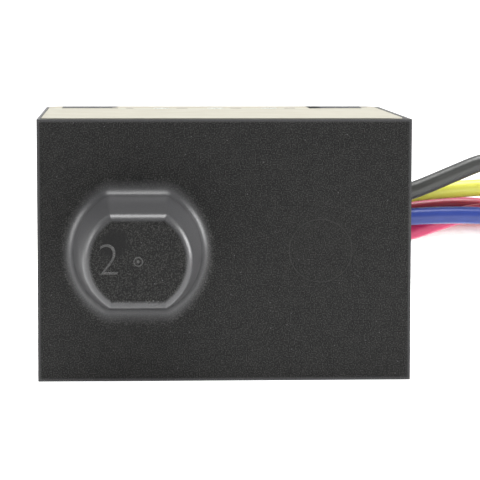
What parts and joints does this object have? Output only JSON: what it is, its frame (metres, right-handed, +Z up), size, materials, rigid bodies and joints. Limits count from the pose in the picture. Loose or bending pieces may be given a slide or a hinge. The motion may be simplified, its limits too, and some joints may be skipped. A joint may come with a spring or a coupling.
{
  "type": "hard-wired surge protector",
  "caption": "Black moulded surge protector module with a hollow stub, a cream top label and coloured insulated wire leads leaving one side.",
  "frame": {"origin": "centre of the case's underside", "axes": "+X towards the lead exit, -Y towards the hollow stub, +Z up through the labelled top"},
  "size_m": [0.1985, 0.0845, 0.0532],
  "materials": {
    "black_moulded_case": "moulded thermoplastic, spark-eroded grain",
    "black_base_plate": "moulded thermoplastic, fine grain",
    "gasket_rubber": "closed-cell foam",
    "zinc_screw": "bright zinc plate",
    "cream_label": "printed polyester film, satin",
    "clear_lens": "clear polycarbonate",
    "green_lamp": "tinted epoxy",
    "nylon_bushing": "moulded nylon",
    "circuit_board": "glass epoxy laminate with solder mask",
    "inner_moulding": "moulded polybutylene",
    "varistor_ceramic": "epoxy coated zinc oxide ceramic",
    "tinned_copper": "tin plate",
    "tinned_brass": "stamped strip",
    "spring_steel": "plated steel",
    "fuse_ceramic": "ceramic tube",
    "capacitor_case": "epoxy filled box",
    "coil_winding": "enamelled copper wire",
    "tie_strap": "moulded nylon strap",
    "lead_insulation_black": "PVC insulation",
    "lead_insulation_yellow": "PVC insulation",
    "lead_insulation_red": "PVC insulation",
    "lead_insulation_blue": "PVC insulation",
    "lead_insulation_pink": "PVC insulation",
    "lead_insulation_white": "PVC insulation"
  },
  "bodies": {
    "case": {"arm_spring_1": "spring_steel", "arm_spring_2": "spring_steel", "arm_spring_3": "spring_steel", "base_gasket": "gasket_rubber", "base_plate": "black_base_plate", "base_screw_1": "zinc_screw", "base_screw_2": "zinc_screw", "base_screw_3": "zinc_screw", "base_screw_4": "zinc_screw", "board_screws": "zinc_screw", "circuit_board": "circuit_board", "coil_tie": "tie_strap", "disconnect_bracket_1": "tinned_brass", "disconnect_bracket_2": "tinned_brass", "disconnect_bracket_3": "tinned_brass", "filter_capacitor_1": "capacitor_case", "filter_capacitor_2": "capacitor_case", "fuse_1": "fuse_ceramic", "fuse_2": "fuse_ceramic", "fuse_3": "fuse_ceramic", "fuse_caps": "tinned_brass", "hinge_pin_1": "spring_steel", "hinge_pin_2": "spring_steel", "hinge_pin_3": "spring_steel", "housing_shell": "black_moulded_case", "lead_black": "lead_insulation_black", "lead_blue": "lead_insulation_blue", "lead_board": "circuit_board", "lead_bushing": "nylon_bushing", "lead_coil": "lead_insulation_black", "lead_pink": "lead_insulation_pink", "lead_red": "lead_insulation_red", "lead_terminals": "tinned_copper", "lead_white": "lead_insulation_white", "lead_yellow": "lead_insulation_yellow", "light_pipe_1": "clear_lens", "light_pipe_2": "clear_lens", "light_pipe_3": "clear_lens", "line_electrode_1": "tinned_copper", "line_electrode_2": "tinned_copper", "line_electrode_3": "tinned_copper", "relay_base": "inner_moulding", "relay_coil": "coil_winding", "relay_contact": "tinned_brass", "relay_return_spring": "spring_steel", "relay_yoke": "spring_steel", "return_electrode_1": "tinned_copper", "return_electrode_2": "tinned_copper", "return_electrode_3": "tinned_copper", "status_lamps": "green_lamp", "stripped_ends": "tinned_copper", "top_label": "cream_label", "varistor_1": "varistor_ceramic", "varistor_2": "varistor_ceramic", "varistor_3": "varistor_ceramic", "varistor_cradle": "inner_moulding"},
    "release_arm_1": {"disconnect_arm_1": "tinned_brass"},
    "release_arm_2": {"disconnect_arm_2": "tinned_brass"},
    "release_arm_3": {"disconnect_arm_3": "tinned_brass"},
    "relay_armature_body": {"relay_armature": "spring_steel"}
  },
  "joints": [
    {"name": "release_1", "type": "hinge", "parent": "case", "child": "release_arm_1", "pos_m": [-0.0219, 0, 0.034], "axis": [0, -1, 0], "range_deg": [0, 6]},
    {"name": "release_2", "type": "hinge", "parent": "case", "child": "release_arm_2", "pos_m": [-0.0089, 0, 0.034], "axis": [0, -1, 0], "range_deg": [0, 6]},
    {"name": "release_3", "type": "hinge", "parent": "case", "child": "release_arm_3", "pos_m": [0.0041, 0, 0.034], "axis": [0, -1, 0], "range_deg": [0, 6]},
    {"name": "relay_armature_tilt", "type": "hinge", "parent": "case", "child": "relay_armature_body", "pos_m": [0.0228, -0.0176, 0.0374], "axis": [0, 1, 0], "range_deg": [0, 6], "stiffness_Nm_per_rad": 0.004}
  ]
}
